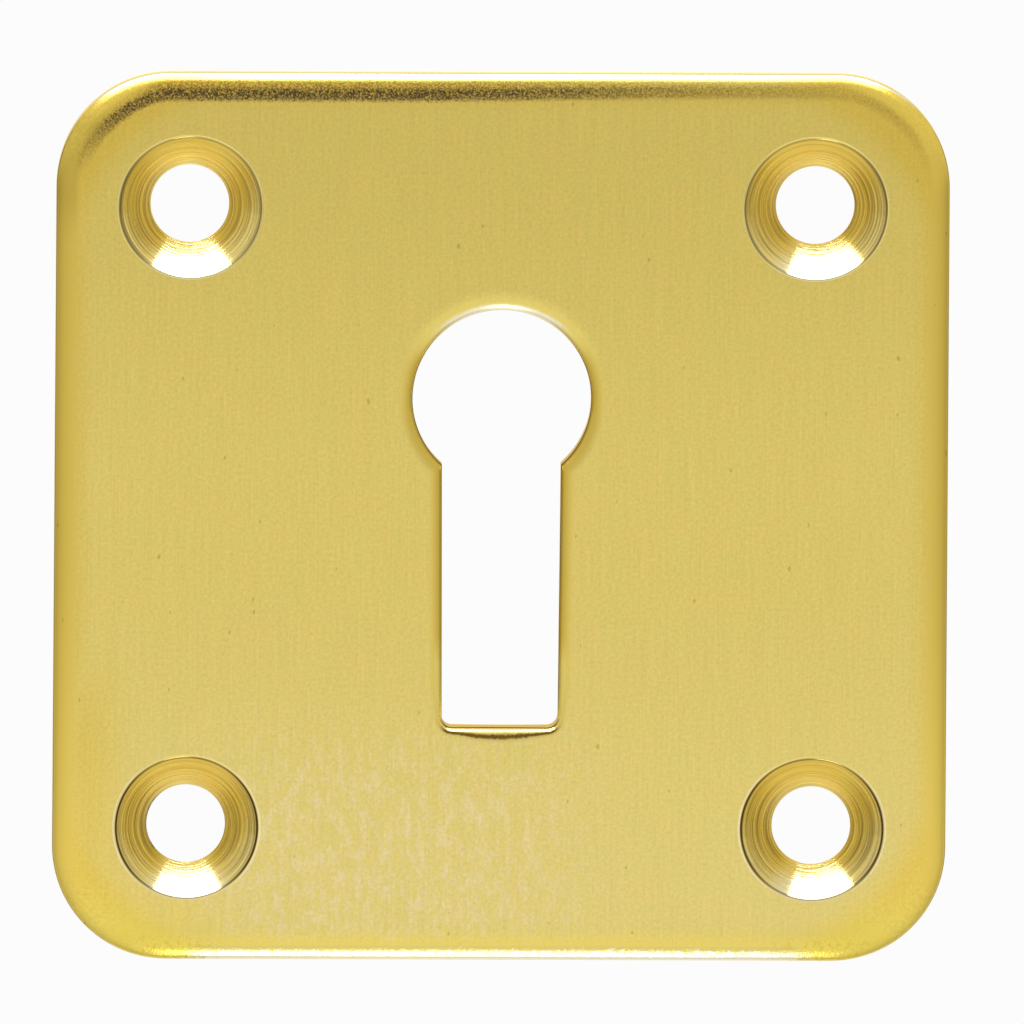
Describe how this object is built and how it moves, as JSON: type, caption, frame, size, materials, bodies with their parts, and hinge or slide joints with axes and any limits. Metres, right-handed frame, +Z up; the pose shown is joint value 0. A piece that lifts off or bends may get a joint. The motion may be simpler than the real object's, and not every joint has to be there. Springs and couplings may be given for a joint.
{
  "type": "keyhole escutcheon",
  "caption": "Square brass keyhole plate with rounded corners and countersunk screw holes, fixed over a lever lock's keyhole on a door or drawer front.",
  "frame": {"origin": "middle of the four screw holes, in the plane of the back face", "axes": "+Z up as fixed, with the keyhole's slot pointing down; -Y out of the front face, away from the door; +X to the right seen from the front"},
  "size_m": [0.05, 0.002, 0.05],
  "materials": {
    "brass": "satin, brushed up and down, with bright turned countersinks"
  },
  "bodies": {
    "root": {"escutcheon_plate": "brass"}
  },
  "joints": []
}
